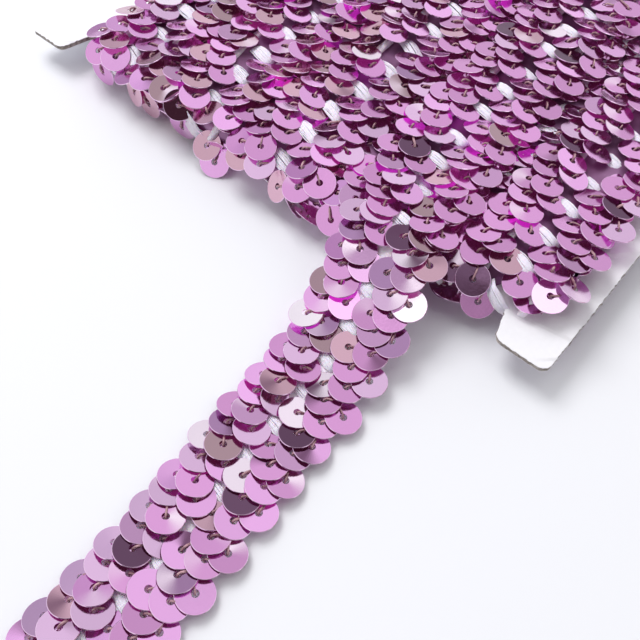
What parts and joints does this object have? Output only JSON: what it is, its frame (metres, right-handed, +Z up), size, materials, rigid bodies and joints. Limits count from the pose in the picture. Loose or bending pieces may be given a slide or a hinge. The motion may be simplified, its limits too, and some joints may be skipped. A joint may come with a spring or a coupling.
{
  "type": "sequin trim wound on a notched card",
  "caption": "Decorative sequin trim wound side by side round a notched card, with one loose end lying out in front",
  "frame": {"origin": "centre of the bounding box's base, on the surface that the trim rests on", "axes": "+X along the card's length, +Y along its width and away from the loose end's cut end, +Z up"},
  "size_m": [0.124, 0.1716, 0.0119],
  "materials": {
    "card_board": "matte white-faced greyboard",
    "sequin_trim": "metallic pink-lilac foil sequins on white yarn"
  },
  "bodies": {
    "root": {"card": "card_board", "wound_trim": "sequin_trim", "loose_end": "sequin_trim"}
  },
  "joints": []
}
